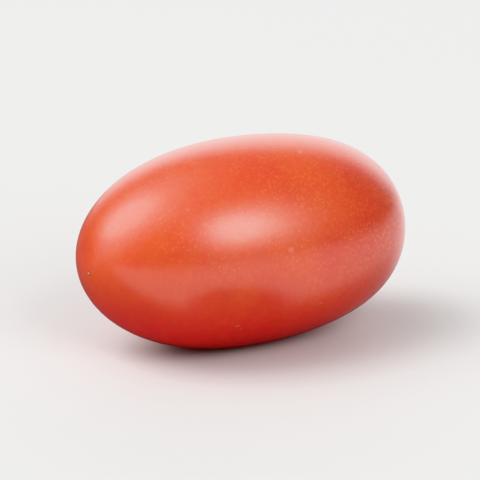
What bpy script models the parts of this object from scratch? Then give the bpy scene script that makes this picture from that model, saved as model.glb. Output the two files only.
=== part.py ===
"""A whole ripe baby plum tomato, off its calyx, lying on its side. Metres, +Z up.

The fruit is one solid. Its long axis runs along X, with the blossom end at -X and the
stem end at +X. It lies on a small flat spot, where its own weight presses the skin level.
The origin is under the middle of the fruit, on the surface it rests on.
"""
import math

import bmesh
import bpy
from mathutils import Matrix, Vector

# Driving dimensions, in metres
HALF_LENGTH = 0.0220         # from the widest place to either end
HALF_WIDTH = 0.0130          # radius where the fruit is widest
FLAT_DEPTH = 0.00022         # how far the resting spot is pressed in
STEM_HOLLOW_DEPTH = 0.0003   # the shallow hollow that the stem scar sits in
STEM_HOLLOW_RADIUS = 0.0028
TIP_HEIGHT = 0.0002          # the slight rise that carries the blossom scar
TIP_RADIUS = 0.0022
TIP_PLACE = (-0.00185, -0.0001)

# How much fuller than an ellipse the outline is at its ends
END_FULLNESS = 0.125         # at both ends alike
STEM_END_FULLNESS = 0.088    # more at the stem end, and less at the blossom end

# The section isn't quite round: two faint broad sides and three seed-chamber swells
OVAL_AMOUNT = 0.006
OVAL_TURN = math.radians(35)
CHAMBER_AMOUNT = 0.004
CHAMBER_TURN = math.radians(20)

SIDES = 56                   # facets round the fruit
RINGS = 40                   # bands of facets along it
SAME_POINT = 1e-6            # points closer than this are one point

SKIN_COLOUR = (0.62, 0.075, 0.025, 1.0)
SKIN_ROUGHNESS = 0.3


def clear_scene():
    for thing in list(bpy.data.objects):
        bpy.data.objects.remove(thing, do_unlink=True)


def skin_material():
    material = bpy.data.materials.new("tomato_skin")
    material.use_nodes = True
    shader = material.node_tree.nodes["Principled BSDF"]
    shader.inputs["Base Color"].default_value = SKIN_COLOUR
    shader.inputs["Roughness"].default_value = SKIN_ROUGHNESS
    shader.inputs["Metallic"].default_value = 0.0
    return material


def outline_point(angle):
    """The outline's (x, radius) at an angle of 0 at the blossom end to pi at the stem end.
    With s = x / HALF_LENGTH = -cos(angle), the radius is that of an ellipse made fuller:
    HALF_WIDTH sqrt(1 - s^2) (1 + END_FULLNESS s^2 + STEM_END_FULLNESS s^3)."""
    along = -math.cos(angle)
    fuller = 1.0 + END_FULLNESS * along ** 2 + STEM_END_FULLNESS * along ** 3
    return HALF_LENGTH * along, HALF_WIDTH * math.sin(angle) * fuller


def turn_outline(mesh):
    """Spin the outline once round the X axis and close it at its two ends."""
    points = [outline_point(math.pi * ring / RINGS) for ring in range(RINGS + 1)]
    verts = [mesh.verts.new((x, 0.0, radius)) for x, radius in points]
    edges = [mesh.edges.new(pair) for pair in zip(verts, verts[1:])]
    bmesh.ops.spin(mesh, geom=verts + edges, cent=(0, 0, 0), axis=(1, 0, 0),
                   angle=2.0 * math.pi, steps=SIDES, use_merge=True)
    bmesh.ops.remove_doubles(mesh, verts=mesh.verts, dist=SAME_POINT)


def bell(distance, width):
    """1 in the middle, falling smoothly away over about the given width."""
    return math.exp(-((distance / width) ** 2))


def shape_ends(mesh):
    """Sink the hollow round the stem scar and raise the slight tip at the blossom end."""
    for vert in mesh.verts:
        x, y, z = vert.co
        if x > 0.0:
            vert.co.x -= STEM_HOLLOW_DEPTH * bell(math.hypot(y, z), STEM_HOLLOW_RADIUS)
        else:
            from_tip = math.hypot(y - TIP_PLACE[0], z - TIP_PLACE[1])
            vert.co.x -= TIP_HEIGHT * bell(from_tip, TIP_RADIUS)


def swell_section(mesh):
    """Make the section slightly oval and slightly three-sided."""
    for vert in mesh.verts:
        around = math.atan2(vert.co.z, vert.co.y)
        swell = (1.0 + OVAL_AMOUNT * math.cos(2.0 * (around - OVAL_TURN))
                 + CHAMBER_AMOUNT * math.cos(3.0 * (around - CHAMBER_TURN)))
        vert.co.y *= swell
        vert.co.z *= swell


def press_resting_spot(mesh):
    """Cut the lowest skin off level and cap it: the flat spot that the fruit rests on."""
    lowest = min(vert.co.z for vert in mesh.verts)
    cut = bmesh.ops.bisect_plane(
        mesh, geom=mesh.verts[:] + mesh.edges[:] + mesh.faces[:], dist=SAME_POINT,
        plane_co=(0, 0, lowest + FLAT_DEPTH), plane_no=(0, 0, -1), clear_outer=True)
    rim = [item for item in cut["geom_cut"] if isinstance(item, bmesh.types.BMEdge)]
    bmesh.ops.edgeloop_fill(mesh, edges=rim)
    for face in mesh.faces:
        face.smooth = True
    for edge in rim:
        edge.smooth = False


def stand_on_origin(mesh):
    """Move the fruit so that the origin is under the middle of its box, on the flat spot."""
    low = Vector([min(vert.co[axis] for vert in mesh.verts) for axis in range(3)])
    high = Vector([max(vert.co[axis] for vert in mesh.verts) for axis in range(3)])
    middle = (low + high) / 2.0
    bmesh.ops.transform(mesh, matrix=Matrix.Translation((-middle.x, -middle.y, -low.z)),
                        verts=mesh.verts)


def make_tomato():
    mesh = bmesh.new()
    turn_outline(mesh)
    shape_ends(mesh)
    swell_section(mesh)
    press_resting_spot(mesh)
    stand_on_origin(mesh)
    bmesh.ops.recalc_face_normals(mesh, faces=mesh.faces)
    data = bpy.data.meshes.new("tomato")
    mesh.to_mesh(data)
    mesh.free()
    data.materials.append(skin_material())
    tomato = bpy.data.objects.new("tomato", data)
    bpy.context.scene.collection.objects.link(tomato)


clear_scene()
make_tomato()
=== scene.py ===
"""The looks of a whole ripe baby plum tomato, off its calyx, lying on its side on a pale floor.

The fruit's long axis runs along X, with the blossom end at -X and the stem end at +X. It rests on
the floor, Z = 0. Lengths are in metres, and in millimetres where a name ends in mm or MM.
"""
import math

import bpy
import numpy as np
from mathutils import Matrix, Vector


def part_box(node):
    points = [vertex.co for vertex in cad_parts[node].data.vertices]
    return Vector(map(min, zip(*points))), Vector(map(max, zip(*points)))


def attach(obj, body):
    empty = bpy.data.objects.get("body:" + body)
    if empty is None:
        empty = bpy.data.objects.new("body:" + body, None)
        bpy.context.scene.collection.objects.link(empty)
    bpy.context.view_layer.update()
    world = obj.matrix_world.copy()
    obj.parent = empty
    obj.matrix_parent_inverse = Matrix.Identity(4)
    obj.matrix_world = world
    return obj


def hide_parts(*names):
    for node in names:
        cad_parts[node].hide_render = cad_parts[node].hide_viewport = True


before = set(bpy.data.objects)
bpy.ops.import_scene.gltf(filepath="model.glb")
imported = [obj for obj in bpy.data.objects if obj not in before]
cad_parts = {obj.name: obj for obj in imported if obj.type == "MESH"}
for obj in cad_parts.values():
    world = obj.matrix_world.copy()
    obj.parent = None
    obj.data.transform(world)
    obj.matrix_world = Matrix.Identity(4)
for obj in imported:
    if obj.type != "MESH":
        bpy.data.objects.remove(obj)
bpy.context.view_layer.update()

LOW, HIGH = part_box("tomato")
MM = 0.001

# ---------------------------------------------------------------------------------------------
# The shape of the fruit
# ---------------------------------------------------------------------------------------------

HALF_LENGTH = (HIGH.x - LOW.x) / 2.0
HALF_WIDTH = (HIGH.y - LOW.y) / 2.0
END_FULLNESS = 0.125          # how much fuller than an ellipse both ends are
STEM_END_FULLNESS = 0.088     # and how much more so the stem end is than the blossom end
OVAL_AMOUNT, OVAL_TURN = 0.006, math.radians(35)
CHAMBER_AMOUNT, CHAMBER_TURN = 0.004, math.radians(20)
PRESSED_EDGE = 0.05 * MM      # the width over which the skin turns level at the resting spot

OUTLINE_STEPS = 4001          # fine steps along the outline, from which the rows are picked
END_CROWDING, END_REACH = 4.5, 0.13   # how much closer the rows are at the ends, and how far in

# Long faint waves of growth. Each is (height in mm, waves round the fruit, waves along it, start)
GROWTH_WAVES = (
    (0.022, 2.0, 2.3, 0.4),
    (0.016, 3.0, -3.1, 1.9),
    (0.010, 5.0, 4.7, 0.7),
    (0.006, 7.0, -6.3, 2.6),
)

STEM_HOLLOW_MM = (0.30, 2.8)  # depth and radius
TIP_MM = (0.20, 2.2)          # height and radius of the rise at the blossom tip
TIP_PLACE_MM = (-1.85, -0.1)  # its (y, z) place beside the long axis
TIP_SCAR_MM = (0.15, 0.25)    # radius where the dried dot is full and where it has ended
TIP_RING_MM = (0.22, 0.34)    # the same for the dark ring under it
TIP_BEAD_MM = (0.07, 0.15)    # height and radius of the dried foot of the flower
TIP_DENT_MM = (0.02, 0.12, 0.33)      # depth, width and radius of the dent round it

SCAR_RADIUS_MM = 1.30
SCAR_CORNERS = 6
SCAR_CORNER_REACH_MM = 0.09
SCAR_SINK_MM, SCAR_DOME_MM = 0.07, 0.03
VESSEL_RING_MM = (0.38, 0.13)         # radius and width
SCAR_LIP_MM = (0.035, 0.18, 0.2)      # height, width and distance outside the edge
CORK_EDGE_MM = (-0.06, 0.04)  # distance past the scar's edge where cork is full and has ended
HALO_GOLD_MM = (0.05, 0.85)   # the same for the golden rim, from the scar's edge
HALO_ORANGE_MM = (1.2, 6.5)   # and for the warm halo, from the scar's middle

ROWS, COLUMNS = 400, 240
FAR_MM = 99.0                 # stands for "at the other end" in a distance from one end


def bell(distance, width):
    """exp(-(distance / width)^2): 1 in the middle, gone by about twice the width."""
    return np.exp(-((distance / width) ** 2))


def ramp(value, start, end):
    """A smooth step: 0 before start, 1 after end, and 3 t^2 - 2 t^3 between them."""
    share = np.clip((value - start) / (end - start), 0.0, 1.0)
    return share * share * (3.0 - 2.0 * share)


def row_angles():
    """Angles of the rows, from 0 at the blossom end to pi at the stem end. They are closer near
    both ends: their density is 1 + END_CROWDING bell(distance from the end, END_REACH)."""
    angle = np.linspace(0.0, math.pi, OUTLINE_STEPS)
    ends = bell(angle, END_REACH) + bell(math.pi - angle, END_REACH)
    density = 1.0 + END_CROWDING * ends
    count = np.concatenate([[0.0], np.cumsum((density[1:] + density[:-1]) / 2.0)])
    return np.interp(np.linspace(0.0, count[-1], ROWS), count, angle)


def plain_body(angle, around):
    """The fruit before its small features, as (x, y, z) arrays and the distance from the axis.
    With s = -cos(angle), x = HALF_LENGTH s, and the distance from the axis is
    HALF_WIDTH sin(angle) (1 + END_FULLNESS s^2 + STEM_END_FULLNESS s^3)."""
    along = -np.cos(angle)
    fuller = 1.0 + END_FULLNESS * along ** 2 + STEM_END_FULLNESS * along ** 3
    radius = HALF_WIDTH * np.sin(angle) * fuller
    return HALF_LENGTH * along, radius * np.cos(around), radius * np.sin(around), radius


def scar_corner_wave(around):
    """1 at the corners where the sepals stood and -1 half way between them. It is the cosine of
    SCAR_CORNERS times the angle, shifted by up to 0.7 so that the corners are uneven."""
    return np.cos(SCAR_CORNERS * around + 0.7 * np.sin(2.0 * around + 0.6))


def scar_outline_mm(around):
    """Distance of the stem scar's edge from its middle: a circle drawn out to its corners, and
    0.05 mm longer on one side than on the other."""
    uneven = 0.05 * np.sin(around + 2.1)
    return SCAR_RADIUS_MM + SCAR_CORNER_REACH_MM * scar_corner_wave(around) + uneven


def scar_corner_share(around):
    """1 at the scar's corners, and 0 along its sides."""
    return ramp(scar_corner_wave(around), 0.35, 0.95)


def ring_of_vessels(from_middle, around):
    """The ring where the stem's vessels came through: a bell across its radius, fainter on one
    side by a cosine of the angle."""
    radius, width = VESSEL_RING_MM
    strong_side = 0.55 + 0.45 * np.cos(around - 2.4)
    return bell(from_middle - radius, width) * (0.30 + 0.70 * strong_side)


def stem_relief_mm(radius_mm, around):
    """Height of the skin over the plain body round the stem scar. The cork plate is sunk and
    slightly domed. It has a groove along the ring of vessels, 13 faint spokes outside the ring,
    and a grain of crossed sine waves. Round it are a low lip, raised corners and 9 puckers."""
    edge = scar_outline_mm(around)
    inside = 1.0 - ramp(radius_mm, edge - 0.07, edge + 0.05)
    dome = SCAR_DOME_MM * np.clip(1.0 - (radius_mm / edge) ** 2, 0.0, 1.0)
    spokes = 0.012 * np.cos(13.0 * around + 0.5 * np.sin(3.0 * around)) * ramp(radius_mm, 0.5, 0.8)
    y, z = radius_mm * np.cos(around), radius_mm * np.sin(around)
    grain = 0.007 * np.sin(31.0 * y + 1.3 * np.sin(23.0 * z)) * np.sin(37.0 * z + 0.4)
    groove = -0.055 * ring_of_vessels(radius_mm, around) + 0.03 * bell(radius_mm, 0.17)
    plate = inside * (dome - SCAR_SINK_MM + spokes + grain + groove)

    lip_height, lip_width, lip_place = SCAR_LIP_MM
    lip = lip_height * bell(radius_mm - edge - lip_place, lip_width) * (1.0 - inside)
    corners = 0.035 * scar_corner_share(around) * bell(radius_mm - edge, 0.14)
    puckers = 0.012 * np.cos(9.0 * around + 1.0) * bell(radius_mm - 2.0, 0.7)
    return plate + lip + corners + puckers


def tip_distance_mm(y, z):
    """Distance from the blossom tip, measured across the long axis."""
    return np.hypot(y / MM - TIP_PLACE_MM[0], z / MM - TIP_PLACE_MM[1])


def tip_relief_mm(from_tip):
    """Height of the dried foot of the flower: a bell for its bead, less a bell for the dent."""
    bead_height, bead_radius = TIP_BEAD_MM
    dent_depth, dent_width, dent_radius = TIP_DENT_MM
    dent = dent_depth * bell(from_tip - dent_radius, dent_width)
    return bead_height * bell(from_tip, bead_radius) - dent


def growth_waves_mm(angle, around):
    """Unevenness of growth: the sum of GROWTH_WAVES' cosines, each of its waves round times
    around, plus its waves along times angle, plus its start. It fades out towards both ends."""
    height = sum(size * np.cos(round_count * around + along_count * angle + start)
                 for size, round_count, along_count, start in GROWTH_WAVES)
    return height * np.sin(angle) ** 2


def outward(place):
    """Unit normals of a grid of places: the cross product of the differences between neighbours
    round the fruit and along it. The two ends face along the long axis."""
    down_rows = np.gradient(place, axis=0)
    wrapped = np.concatenate([place[:, -1:], place, place[:, :1]], axis=1)
    round_columns = (wrapped[:, 2:] - wrapped[:, :-2]) / 2.0
    normal = np.cross(round_columns, down_rows)
    length = np.linalg.norm(normal, axis=-1, keepdims=True)
    normal /= np.maximum(length, 1e-15)
    normal[0], normal[-1] = (-1.0, 0.0, 0.0), (1.0, 0.0, 0.0)
    return normal


def settle(place):
    """Move the fruit to its CAD box and press its underside level: below the floor's height the
    skin is flat, with a parabola (z + e)^2 / 4e within e of it."""
    x, y, z = np.moveaxis(place, -1, 0)
    place = place + np.array([LOW.x - x.min(), LOW.y - y.min(), HIGH.z - z.max()])
    height, edge = place[..., 2], PRESSED_EDGE
    turning = (height + edge) ** 2 / (4.0 * edge)
    place[..., 2] = np.where(height < -edge, 0.0, np.where(height < edge, turning, height))
    return place


def grid_mesh(name, place):
    """A closed mesh from a grid of places. Columns wrap round, and the first and last rows,
    each a single point, become the two ends."""
    rows, columns = place.shape[:2]
    inner = place[1:-1].reshape(-1, 3)
    points = np.concatenate([inner, place[0, :1], place[-1, :1]])
    row, column = np.meshgrid(np.arange(rows - 3), np.arange(columns), indexing="ij")
    beside = (column + 1) % columns
    quads = np.stack([row * columns + column, row * columns + beside,
                      (row + 1) * columns + beside, (row + 1) * columns + column], axis=-1)
    ring = np.arange(columns)
    ring_beside = (ring + 1) % columns
    first, last = len(inner), len(inner) + 1
    last_ring = (rows - 3) * columns
    start = np.stack([np.full(columns, first), ring_beside, ring], axis=-1)
    end = np.stack([np.full(columns, last), last_ring + ring, last_ring + ring_beside], axis=-1)
    faces = quads.reshape(-1, 4).tolist() + start.tolist() + end.tolist()
    mesh = bpy.data.meshes.new(name)
    mesh.from_pydata(points.tolist(), [], faces)
    mesh.validate()
    mesh.shade_smooth()
    return mesh


def add_attribute(mesh, name, values):
    """Store a grid of values on the mesh's points, in grid_mesh's order."""
    flat = np.concatenate([values[1:-1].ravel(), values[0, :1], values[-1, :1]])
    layer = mesh.attributes.new(name, "FLOAT", "POINT")
    layer.data.foreach_set("value", flat.astype(np.float32))


def make_tomato():
    """The fruit's skin as one closed surface on a grid of angle along and angle around: the plain
    body, its hollow and tip, its swell, and the fine relief laid along its normals."""
    column_angles = np.linspace(0.0, 2.0 * math.pi, COLUMNS, endpoint=False)
    angle, around = np.meshgrid(row_angles(), column_angles, indexing="ij")
    x, y, z, radius = plain_body(angle, around)
    stem_side = x > 0.0
    from_tip = np.where(stem_side, FAR_MM, tip_distance_mm(y, z))
    from_stem = np.where(stem_side, radius / MM, FAR_MM)

    x = x - MM * STEM_HOLLOW_MM[0] * bell(from_stem, STEM_HOLLOW_MM[1])
    x = x - MM * TIP_MM[0] * bell(from_tip, TIP_MM[1])
    swell = (1.0 + OVAL_AMOUNT * np.cos(2.0 * (around - OVAL_TURN))
             + CHAMBER_AMOUNT * np.cos(3.0 * (around - CHAMBER_TURN)))
    place = np.stack([x, y * swell, z * swell], axis=-1)
    relief_mm = (growth_waves_mm(angle, around) + tip_relief_mm(from_tip)
                 + np.where(stem_side, stem_relief_mm(from_stem, around), 0.0))
    place = settle(place + outward(place) * relief_mm[..., None] * MM)

    mesh = grid_mesh("plum_tomato", place)
    edge = scar_outline_mm(around)
    add_attribute(mesh, "from_scar_edge_mm", from_stem - edge)
    add_attribute(mesh, "scar_corner", scar_corner_share(around) * bell(from_stem - edge, 0.16))
    add_attribute(mesh, "vessel_ring", ring_of_vessels(from_stem, around))
    add_attribute(mesh, "from_stem_mm", from_stem)
    add_attribute(mesh, "from_tip_mm", from_tip)
    tomato = bpy.data.objects.new("plum_tomato", mesh)
    bpy.context.scene.collection.objects.link(tomato)
    return tomato


# ---------------------------------------------------------------------------------------------
# Shader maths
# ---------------------------------------------------------------------------------------------

class Signal:
    """One output of a finish's nodes. Arithmetic on it adds Math nodes."""

    def __init__(self, finish, socket):
        self.finish, self.socket = finish, socket

    def beside(self, output):
        """Another output of the same node."""
        return Signal(self.finish, self.socket.node.outputs[output])

    def math(self, operation, *others):
        inputs = dict(enumerate((self,) + others))
        return self.finish.node("ShaderNodeMath", {"operation": operation}, inputs)

    def __add__(self, other):
        return self.math("ADD", other)

    def __sub__(self, other):
        return self.math("SUBTRACT", other)

    def __rsub__(self, other):
        return self.finish.node("ShaderNodeMath", {"operation": "SUBTRACT"}, {0: other, 1: self})

    def __mul__(self, other):
        return self.math("MULTIPLY", other)

    def __truediv__(self, other):
        return self.math("DIVIDE", other)

    def __pow__(self, other):
        return self.math("POWER", other)

    __radd__ = __add__
    __rmul__ = __mul__


class Finish:
    """A material or a world while its nodes are being made."""

    def __init__(self, owner):
        self.owner = owner
        owner.use_nodes = True
        self.tree = owner.node_tree

    def node(self, kind, settings=None, inputs=None, output=0):
        """Add a node: its settings first, then the values or links of its sockets."""
        made = self.tree.nodes.new(kind)
        for name, value in (settings or {}).items():
            setattr(made, name, value)
        for key, value in (inputs or {}).items():
            self.feed(made.inputs[key], value)
        return Signal(self, made.outputs[output])

    def feed(self, socket, value):
        """Link a signal to a socket, or set the socket's own value."""
        if isinstance(value, Signal):
            self.tree.links.new(value.socket, socket)
        else:
            socket.default_value = value

    def step(self, value, start, end):
        """A smooth step from 0 at start to 1 at end. End may be below start."""
        if start > end:
            return 1.0 - self.step(value, end, start)
        return self.node("ShaderNodeMapRange", {"interpolation_type": "SMOOTHSTEP"},
                         {"Value": value, "From Min": start, "From Max": end})

    def mix(self, share, colour, other):
        """A blend of two colours: all the first at share 0, all the other at share 1."""
        return self.node("ShaderNodeMix", {"data_type": "RGBA"},
                         {"Factor": share, 6: colour, 7: other}, output=2)

    def noise(self, place, scale, detail=2.0, roughness=0.5):
        """A smooth random pattern around 0.5, of about scale lumps to a unit of place. Detail is
        its number of finer layers, and roughness is how strong they are."""
        return self.node("ShaderNodeTexNoise", {}, {
            "Vector": place, "Scale": scale, "Detail": detail, "Roughness": roughness})

    def attribute(self, name):
        """The values stored on the mesh's points under a name."""
        return self.node("ShaderNodeAttribute", {"attribute_name": name}, output="Fac")


# ---------------------------------------------------------------------------------------------
# The skin's colours and finish
# ---------------------------------------------------------------------------------------------

# Painted shade: the first red is laid deeper over the underside; it also tints the random mottling
UNDER_SHADE_AND_MOTTLE_RED = (0.67, 0.032, 0.034, 1.0)
RED = (0.585, 0.060, 0.034, 1.0)
ORANGE_RED = (0.65, 0.099, 0.036, 1.0)
# Painted shade: this darker red is laid over the stem shoulder
PAINTED_SHOULDER_SHADE_RED = (0.48, 0.046, 0.030, 1.0)
STEM_ORANGE = (0.74, 0.17, 0.034, 1.0)
HALO_GOLD = (0.72, 0.27, 0.045, 1.0)
SPECKLE_GOLD = (0.80, 0.255, 0.070, 1.0)
CORK = (0.57, 0.44, 0.22, 1.0)
CORK_BROWN = (0.30, 0.20, 0.095, 1.0)
CORK_RIM = (0.66, 0.42, 0.29, 1.0)
CORNER_BROWN = (0.30, 0.075, 0.04, 1.0)
VESSEL_BROWN = (0.13, 0.085, 0.035, 1.0)
TIP_KHAKI = (0.42, 0.29, 0.10, 1.0)
TIP_EDGE = (0.16, 0.045, 0.02, 1.0)
MARK_PALE = (0.66, 0.25, 0.18, 1.0)
MARK_DARK = (0.34, 0.05, 0.035, 1.0)
WAX_COAT = 0.65               # weight of the clear waxy bloom over the skin
SKIN_ROUGHNESS = 0.265
PEEL_HEIGHT = 0.006 * MM      # the height of the finest unevenness of the skin
SKIN_CONSTANTS = {
    "IOR": 1.5,
    "Coat IOR": 1.5,
    "Coat Roughness": 0.225,
    "Subsurface Weight": 0.25,
    "Subsurface Radius": (1.0, 0.22, 0.10),
    "Subsurface Scale": 2.5 * MM,
}

# Scales of the random patterns, in lumps to a millimetre
RIPE_PATCHES, MOTTLING = 0.11, 0.9
SPECKLE_DRIFTS, SPECKLE_GRAIN = 0.20, 2.6
RAGGED_HALO, BROKEN_MARKS = 1.6, 5.0
CORK_BLOTCHES, CORK_GRAIN = 2.6, 9.0
UNEVEN_GLOSS, PEEL = 0.6, 2.2

# Where the ripeness and the painted shade change. Each is (place in mm where it starts, place where
# it is full)
ORANGE_HEIGHT_MM = (3.0, 21.0)        # heights: more orange upwards
PAINTED_UNDER_SHADE_HEIGHT_MM = (11.5, 2.5)     # heights: redder downwards, as painted shade
PAINTED_SHOULDER_SHADE_MM = (5.0, 19.0)             # along X: redder and darker towards the stem end, as painted shade

# Golden speckles. Each kind is (cells to a millimetre, a dot's edge, its core, share of cells with
# a dot), with the edge and core in cell widths, and has a strength
FINE_SPECKLES, FINE_STRENGTH = (2.3, 0.54, 0.10, 0.55), 0.50
COARSE_SPECKLES, COARSE_STRENGTH = (1.25, 0.28, 0.06, 0.60), 0.62
GRAIN_STRENGTH = 0.28

# Small marks of wind and handling, scattered over the skin
MARK_COUNT, MARK_SEED = 23, 7
DARK_EVERY = 4                # every fourth mark is dark and the others are pale
MARK_REACH = 0.85             # how far along the fruit they lie, as a share of HALF_LENGTH
MARK_LENGTH_MM = (0.32, 0.80)
MARK_NARROWNESS = (0.45, 0.90)        # width over length
MARK_MOST_TURNED = 60.0       # degrees between a mark's length and the long axis
MARK_DEPTH_MM = 3.0           # how thick the oval of a mark is, through the skin
MARK_FULL, MARK_GONE = 0.1, 2.2       # (distance / half size) squared, where it is full and gone
MARK_TINTS = {"pale": MARK_PALE, "dark": MARK_DARK}


def scatter_marks():
    """The marks, drawn at random from a fixed seed and evenly in each range. Each is (place along
    X in mm, degrees round from +Y over the top, length in mm, width in mm, degrees its length is
    turned from the long axis, pale or dark)."""
    random = np.random.default_rng(MARK_SEED)
    reach = MARK_REACH * HALF_LENGTH / MM
    marks = []
    for count in range(MARK_COUNT):
        along, degrees = random.uniform(-reach, reach), random.uniform(0.0, 360.0)
        length = random.uniform(*MARK_LENGTH_MM)
        width = length * random.uniform(*MARK_NARROWNESS)
        turned = random.uniform(-MARK_MOST_TURNED, MARK_MOST_TURNED)
        marks.append((along, degrees, length, width, turned,
                      "pale" if count % DARK_EVERY else "dark"))
    return marks


def outline_radius_mm(along_mm):
    """Distance of the plain body's skin from its long axis, as in plain_body."""
    s = along_mm * MM / HALF_LENGTH
    fuller = 1.0 + END_FULLNESS * s ** 2 + STEM_END_FULLNESS * s ** 3
    return HALF_WIDTH / MM * math.sqrt(1.0 - s * s) * fuller


def mark_share(finish, place_mm, mark):
    """1 inside one skin mark and 0 outside it: an oval measured in the mark's own directions,
    which are turned from the outline's direction towards the way round the fruit."""
    along, degrees, length, width, turned = mark[:-1]
    around, turn = math.radians(degrees), math.radians(turned)
    radius_mm, nudge = outline_radius_mm(along), 0.01
    slope = (outline_radius_mm(along + nudge) - outline_radius_mm(along - nudge)) / (2.0 * nudge)
    away = np.array([0.0, math.cos(around), math.sin(around)])
    middle = np.array([along, 0.0, (HIGH.z / 2.0) / MM]) + radius_mm * away
    lengthways = (np.array([1.0, 0.0, 0.0]) + slope * away) / math.hypot(1.0, slope)
    outwards = (away - np.array([slope, 0.0, 0.0])) / math.hypot(1.0, slope)
    round_way = np.array([0.0, -math.sin(around), math.cos(around)])
    long_way = math.cos(turn) * lengthways + math.sin(turn) * round_way
    cross_way = math.cos(turn) * round_way - math.sin(turn) * lengthways
    offset = finish.node("ShaderNodeVectorMath", {"operation": "SUBTRACT"},
                         {0: place_mm, 1: tuple(middle)})

    def part(way, size):
        """The square of the distance along a way, in halves of the mark's size along it."""
        distance = finish.node("ShaderNodeVectorMath", {"operation": "DOT_PRODUCT"},
                               {0: offset, 1: tuple(way)}, output="Value")
        return (distance / (size / 2.0)) ** 2.0

    depth = part(outwards, MARK_DEPTH_MM)
    from_middle = part(long_way, length) + part(cross_way, width) + depth
    return finish.step(from_middle, MARK_GONE, MARK_FULL)


def speckles(finish, place_mm, scale, edge, core, kept):
    """Round dots, one to a cell of a Voronoi pattern: full within core of a cell's point and
    gone past edge, in cell widths. The share kept of the cells holds most of the dots."""
    distance = finish.node("ShaderNodeTexVoronoi", {},
                           {"Vector": place_mm, "Scale": scale}, output="Distance")
    pick = finish.node("ShaderNodeSeparateColor", {}, {0: distance.beside("Color")})
    return finish.step(distance, edge, core) * finish.step(pick, 0.95 - kept, 1.15 - kept)


def ripeness_and_painted_shade(finish, place_mm, x, z):
    """Ripeness, more orange above in soft patches; painted shade, a darker red at the stem shoulder
    and a deeper red underneath;
    and the flesh showing through as fine cloudy mottling."""
    patches = finish.noise(place_mm, RIPE_PATCHES, 2.0, 0.45)
    height = finish.step(z, *ORANGE_HEIGHT_MM)
    orange = finish.step(patches + height * 0.34 - x * 0.004, 0.45, 0.95)
    colour = finish.mix(orange, RED, ORANGE_RED)
    # Painted shade: the stem shoulder darkened
    colour = finish.mix(finish.step(x, *PAINTED_SHOULDER_SHADE_MM) * 0.72, colour, PAINTED_SHOULDER_SHADE_RED)
    # Painted shade: the underside turned a deeper red
    under = finish.step(z + x * 0.12, *PAINTED_UNDER_SHADE_HEIGHT_MM)
    colour = finish.mix(under * 0.85, colour, UNDER_SHADE_AND_MOTTLE_RED)
    mottle = finish.noise(place_mm, MOTTLING, 4.0, 0.6)
    colour = finish.mix(finish.step(mottle, 0.45, 0.72) * 0.20, colour, ORANGE_RED)
    return finish.mix(finish.step(mottle, 0.52, 0.30) * 0.22, colour, UNDER_SHADE_AND_MOTTLE_RED)


def speckle_share(finish, place_mm, x, z):
    """The golden speckles: in each place the strongest of fine dots, coarse dots and a faint
    grain. They are thickest over the upper side and the stem half, in soft drifts."""
    drifts = finish.step(finish.noise(place_mm, SPECKLE_DRIFTS, 2.0), 0.32, 0.62)
    where = finish.step(z * 0.055 + x * 0.012, 0.20, 1.05) * (0.45 + 0.55 * drifts)
    grain = finish.step(finish.noise(place_mm, SPECKLE_GRAIN, 3.0, 0.65), 0.48, 0.70)
    fine = speckles(finish, place_mm, *FINE_SPECKLES) * FINE_STRENGTH
    coarse = speckles(finish, place_mm, *COARSE_SPECKLES) * COARSE_STRENGTH
    dots = fine.math("MAXIMUM", coarse)
    return dots.math("MAXIMUM", grain * GRAIN_STRENGTH) * (0.14 + 0.86 * where)


def stem_halo(finish, place_mm, colour, from_edge):
    """The colour with a warm halo round the stem scar, golden next to it. Both have ragged rims."""
    ragged = (finish.noise(place_mm, RAGGED_HALO, 3.0) - 0.5) * 1.2
    full, ended = HALO_ORANGE_MM
    orange = finish.step(finish.attribute("from_stem_mm") + ragged, ended, full)
    full, ended = HALO_GOLD_MM
    gold = finish.step(from_edge + ragged * 0.4, ended, full)
    colour = finish.mix(orange * 0.75, colour, STEM_ORANGE)
    return finish.mix(gold * 0.85, colour, HALO_GOLD)


def marks_of(finish, place_mm, marks, tint_name):
    """1 inside the marks of one tint and 0 elsewhere."""
    first, *others = (mark_share(finish, place_mm, mark) for mark in marks if mark[-1] == tint_name)
    for share in others:
        first = first.math("MAXIMUM", share)
    return first


def cork_colour(finish, place_mm, cork_grain, from_edge):
    """The scar's plate: grainy cork in brown blotches, a paler rim and a dark ring of vessels."""
    blotch = finish.noise(place_mm, CORK_BLOTCHES, 3.0, 0.6)
    cork = finish.mix(finish.step(cork_grain, 0.18, 0.60), VESSEL_BROWN, CORK)
    cork = finish.mix(finish.step(blotch, 0.60, 0.44) * 0.6, cork, CORK_BROWN)
    cork = finish.mix(finish.step(from_edge, -0.42, -0.08) * 0.75, cork, CORK_RIM)
    vessels = finish.attribute("vessel_ring") * (0.7 + 0.9 * finish.step(blotch, 0.52, 0.42))
    return finish.mix(vessels.math("MINIMUM", 1.0), cork, VESSEL_BROWN)


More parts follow.
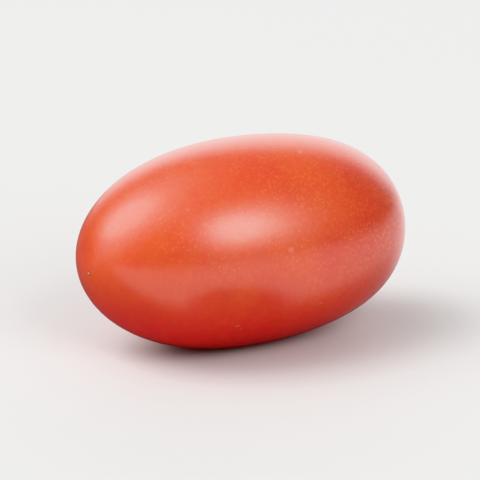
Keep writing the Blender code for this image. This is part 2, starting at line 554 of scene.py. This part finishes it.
def tomato_skin():
    """Waxy ripe skin, with the cork of the stem scar and the dried dot of the blossom tip."""
    finish = Finish(bpy.data.materials.new("tomato_skin"))
    shader = finish.tree.nodes["Principled BSDF"]
    place = finish.node("ShaderNodeTexCoord", output="Object")
    place_mm = finish.node("ShaderNodeVectorMath", {"operation": "SCALE"},
                           {0: place, "Scale": 1.0 / MM})
    x, z = (finish.node("ShaderNodeSeparateXYZ", {}, {0: place_mm}, output=axis)
            for axis in ("X", "Z"))
    from_edge = finish.attribute("from_scar_edge_mm")

    speckle = speckle_share(finish, place_mm, x, z)
    colour = finish.mix(speckle * 0.80, ripeness_and_painted_shade(finish, place_mm, x, z), SPECKLE_GOLD)
    colour = stem_halo(finish, place_mm, colour, from_edge)
    marks = scatter_marks()
    pale, dark = (marks_of(finish, place_mm, marks, tint_name) for tint_name in MARK_TINTS)
    broken = 0.25 + 0.35 * finish.step(finish.noise(place_mm, BROKEN_MARKS, 2.0), 0.35, 0.6)
    colour = finish.mix(pale * broken, colour, MARK_TINTS["pale"])
    colour = finish.mix(dark * broken, colour, MARK_TINTS["dark"])

    cork_grain = finish.noise(place_mm, CORK_GRAIN, 4.0, 0.65)
    cork_full, cork_ended = CORK_EDGE_MM
    cork_share = finish.step(from_edge, cork_ended, cork_full)
    corner_share = finish.step(finish.attribute("scar_corner"), 0.25, 0.85)
    colour = finish.mix(cork_share, colour, cork_colour(finish, place_mm, cork_grain, from_edge))
    colour = finish.mix(corner_share * 0.85, colour, CORNER_BROWN)
    from_tip = finish.attribute("from_tip_mm")
    ring_share, tip_share = (finish.step(from_tip, ended, full)
                             for full, ended in (TIP_RING_MM, TIP_SCAR_MM))
    colour = finish.mix(ring_share, colour, TIP_EDGE)
    colour = finish.mix(tip_share, colour, TIP_KHAKI)

    dry = cork_share.math("MAXIMUM", tip_share)
    rough = SKIN_ROUGHNESS + 0.05 * finish.noise(place_mm, UNEVEN_GLOSS, 3.0) + speckle * 0.05
    rough = rough + pale * 0.10 + dark * 0.25 + dry * 0.45
    bare = dry.math("MAXIMUM", dark.math("MAXIMUM", pale * 0.3))
    peel = finish.noise(place_mm, PEEL, 2.0) * 0.35 + speckle * 0.10 + pale * 0.8
    peel = peel - dark * 0.8 + dry * cork_grain * 3.0
    bump = finish.node("ShaderNodeBump", {}, {"Strength": 1.0, "Distance": PEEL_HEIGHT,
                                              "Height": peel})
    finish.feed(shader.inputs["Base Color"], colour)
    finish.feed(shader.inputs["Roughness"], rough)
    finish.feed(shader.inputs["Coat Weight"], WAX_COAT * (1.0 - bare))
    finish.feed(shader.inputs["Normal"], bump)
    for name, value in SKIN_CONSTANTS.items():
        shader.inputs[name].default_value = value
    return finish.owner


# ---------------------------------------------------------------------------------------------
# The studio
# ---------------------------------------------------------------------------------------------

CAMERA_AZIMUTH, CAMERA_ELEVATION = -27.0, 20.0
CAMERA_DISTANCE = 0.60
VIEW_WIDTH = 0.060            # how much of the scene the picture spans at the fruit
SENSOR_MM = 36.0
FLOOR_SIZE = 6.0
FLOOR_ROUGHNESS, FLOOR_SPECULAR = 0.7, 0.2
FLOOR_GREY = (0.66, 0.66, 0.655, 1.0)
# The floor as mirror rays see it: painted shade close to the fruit, and a painted brighter floor
# farther off
FLOOR_DIM = (0.15, 0.10, 0.11, 1.0)
FLOOR_BRIGHT = (0.90, 0.90, 0.90, 1.0)
DIM_FRONT_EDGE = (-0.021, -0.013)     # the range of y over which the mirrored floor grows dim
DIM_RIGHT_EDGE = (0.060, -0.006)      # and the range of x
DIM_PATCH = (-0.005, -0.018, 0.010, 0.017)    # middle x and y, half width and half depth
BACKDROP_SEEN = (1.0, 1.0, 0.995, 1.0)

# Soft lights facing the fruit. Each is (name, azimuth, elevation, width, height, radiance)
SOFTBOXES = (
    ("left_softbox", -115.0, 48.0, 1.05, 1.25, 3.1),
    ("front_softbox", 12.0, 35.5, 0.70, 0.82, 4.9),
)
SOFTBOX_DISTANCE = 1.5

# The room's brightness at the sides and the top, and its glows: the backdrop behind the fruit and
# one round each softbox. A glow is (brightness, azimuth, elevation, half width, half height)
ROOM_SIDES, ROOM_TOP = 0.24, 0.30
GLOWS = (
    (1.75, 145.0, 14.0, 33.0, 22.0),
    (2.0, -113.0, 47.0, 31.0, 36.0),
    (2.2, 13.0, 36.0, 20.0, 24.0),
)
SHADE, SHADE_AMOUNT = (-138.0, -2.0, 22.0, 22.0), 0.85    # a darker side of the room, as a glow
GLOW_SQUARENESS = 2.5         # 2 makes glows round, and more makes them squarer
GLOW_FULL, GLOW_GONE = 0.55, 1.45     # distance from a glow's middle, in its half sizes


def direction(azimuth, elevation):
    """Unit vector from the fruit towards an azimuth, 0 at -Y and 90 at +X, and an elevation."""
    turn, lift = math.radians(azimuth), math.radians(elevation)
    return np.array([math.sin(turn) * math.cos(lift), -math.cos(turn) * math.cos(lift),
                     math.sin(lift)])


def aim(thing, place, target):
    """Put a camera or a light at a place, looking at the target with its top upwards."""
    thing.location = Vector(place)
    look = Vector(target) - thing.location
    thing.rotation_euler = look.to_track_quat("-Z", "Y").to_euler()


def fruit_middle():
    """The middle of the fruit's box."""
    return (np.array(LOW) + np.array(HIGH)) / 2.0


def make_camera():
    """A long lens, so that the view is nearly parallel, on the middle of the fruit."""
    data = bpy.data.cameras.new("camera")
    data.sensor_width = SENSOR_MM
    data.lens = SENSOR_MM * CAMERA_DISTANCE / VIEW_WIDTH
    data.clip_start, data.clip_end = 0.01, 50.0
    camera = bpy.data.objects.new("camera", data)
    bpy.context.scene.collection.objects.link(camera)
    middle = fruit_middle()
    aim(camera, middle + CAMERA_DISTANCE * direction(CAMERA_AZIMUTH, CAMERA_ELEVATION), middle)
    bpy.context.scene.camera = camera


def make_softbox(name, azimuth, elevation, width, height, radiance):
    """An oval area light facing the fruit. Its power is radiance times pi times its area."""
    data = bpy.data.lights.new(name, "AREA")
    data.shape = "ELLIPSE"
    data.size, data.size_y = width, height
    data.energy = radiance * math.pi * (math.pi / 4.0 * width * height)
    light = bpy.data.objects.new(name, data)
    bpy.context.scene.collection.objects.link(light)
    middle = fruit_middle()
    aim(light, middle + SOFTBOX_DISTANCE * direction(azimuth, elevation), middle)


def make_floor():
    """A plain pale floor. Mirror rays see painted shade on it close to the fruit and behind it,
    where other fruit would lie, and a painted brighter floor farther off. The shaded part is the
    area behind DIM_FRONT_EDGE and left of DIM_RIGHT_EDGE, and an oval patch in front of it."""
    half = FLOOR_SIZE / 2.0
    mesh = bpy.data.meshes.new("floor")
    mesh.from_pydata([(-half, -half, 0), (half, -half, 0), (half, half, 0), (-half, half, 0)],
                     [], [(0, 1, 2, 3)])
    finish = Finish(bpy.data.materials.new("floor_white"))
    shader = finish.tree.nodes["Principled BSDF"]
    place = finish.node("ShaderNodeTexCoord", output="Object")
    x, y = (finish.node("ShaderNodeSeparateXYZ", {}, {0: place}, output=axis)
            for axis in ("X", "Y"))
    patch_x, patch_y, half_width, half_depth = DIM_PATCH
    from_patch = ((x - patch_x) / half_width) ** 2.0 + ((y - patch_y) / half_depth) ** 2.0
    dim = finish.step(y, *DIM_FRONT_EDGE) * finish.step(x, *DIM_RIGHT_EDGE)
    dim = dim.math("MAXIMUM", finish.step(from_patch, 1.7, 0.5))
    reflected = finish.mix(dim, FLOOR_BRIGHT, FLOOR_DIM)
    mirror_ray = finish.node("ShaderNodeLightPath", output="Is Glossy Ray")
    finish.feed(shader.inputs["Base Color"], finish.mix(mirror_ray, FLOOR_GREY, reflected))
    shader.inputs["Roughness"].default_value = FLOOR_ROUGHNESS
    shader.inputs["Specular IOR Level"].default_value = FLOOR_SPECULAR
    mesh.materials.append(finish.owner)
    floor = bpy.data.objects.new("floor", mesh)
    bpy.context.scene.collection.objects.link(floor)


def glow(finish, way, azimuth, elevation, half_width, half_height):
    """The share of a soft glow in the room at a direction: 1 in its middle and 0 outside it.
    Its half width and height, in degrees, are where it has faded to half. Its distance from
    the middle is (|across|^n + |upwards|^n)^(1/n), with n GLOW_SQUARENESS."""
    middle = direction(azimuth, elevation)
    across = direction(azimuth + 90.0, 0.0)
    upwards = np.cross(across, middle)

    def part(axis):
        """The direction's part along an axis."""
        return finish.node("ShaderNodeVectorMath", {"operation": "DOT_PRODUCT"},
                           {0: way, 1: tuple(axis)}, output="Value")

    def spread(axis, half):
        """The direction's part along an axis over the sine of half its size, to the power n."""
        return (part(axis) / math.sin(math.radians(half))).math("ABSOLUTE") ** GLOW_SQUARENESS

    both = spread(across, half_width) + spread(upwards, half_height)
    from_middle = both ** (1.0 / GLOW_SQUARENESS)
    facing = finish.step(part(middle), 0.0, 0.3)
    return finish.step(from_middle, GLOW_GONE, GLOW_FULL) * facing


def make_surroundings():
    """A pale room: its own brightness plus the glows, less the shade. The camera sees it all as
    a plain pale backdrop."""
    world = bpy.data.worlds.new("studio")
    bpy.context.scene.world = world
    finish = Finish(world)
    background = finish.tree.nodes["Background"]
    way = finish.node("ShaderNodeTexCoord", output="Generated")
    z = finish.node("ShaderNodeSeparateXYZ", {}, {0: way}, output="Z")
    brightness = ROOM_SIDES + (ROOM_TOP - ROOM_SIDES) * finish.step(z, 0.55, 1.0)
    for strength, *where in GLOWS:
        brightness = brightness + strength * glow(finish, way, *where)
    brightness = brightness * (1.0 - SHADE_AMOUNT * glow(finish, way, *SHADE))
    seen = finish.node("ShaderNodeLightPath", output="Is Camera Ray")
    grey = finish.node("ShaderNodeCombineColor", {},
                       {0: brightness, 1: brightness, 2: brightness})
    finish.feed(background.inputs["Color"], finish.mix(seen, grey, BACKDROP_SEEN))


# ---------------------------------------------------------------------------------------------
# The scene
# ---------------------------------------------------------------------------------------------

make_camera()
tomato = make_tomato()
tomato.data.materials.append(tomato_skin())
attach(tomato, "root")
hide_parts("tomato")
make_floor()
for box in SOFTBOXES:
    make_softbox(*box)
make_surroundings()
bpy.context.scene.view_settings.view_transform = "Khronos PBR Neutral"


def corners(bounds):
    """A box's two corners as plain lists."""
    return [[float(value) for value in corner] for corner in bounds]
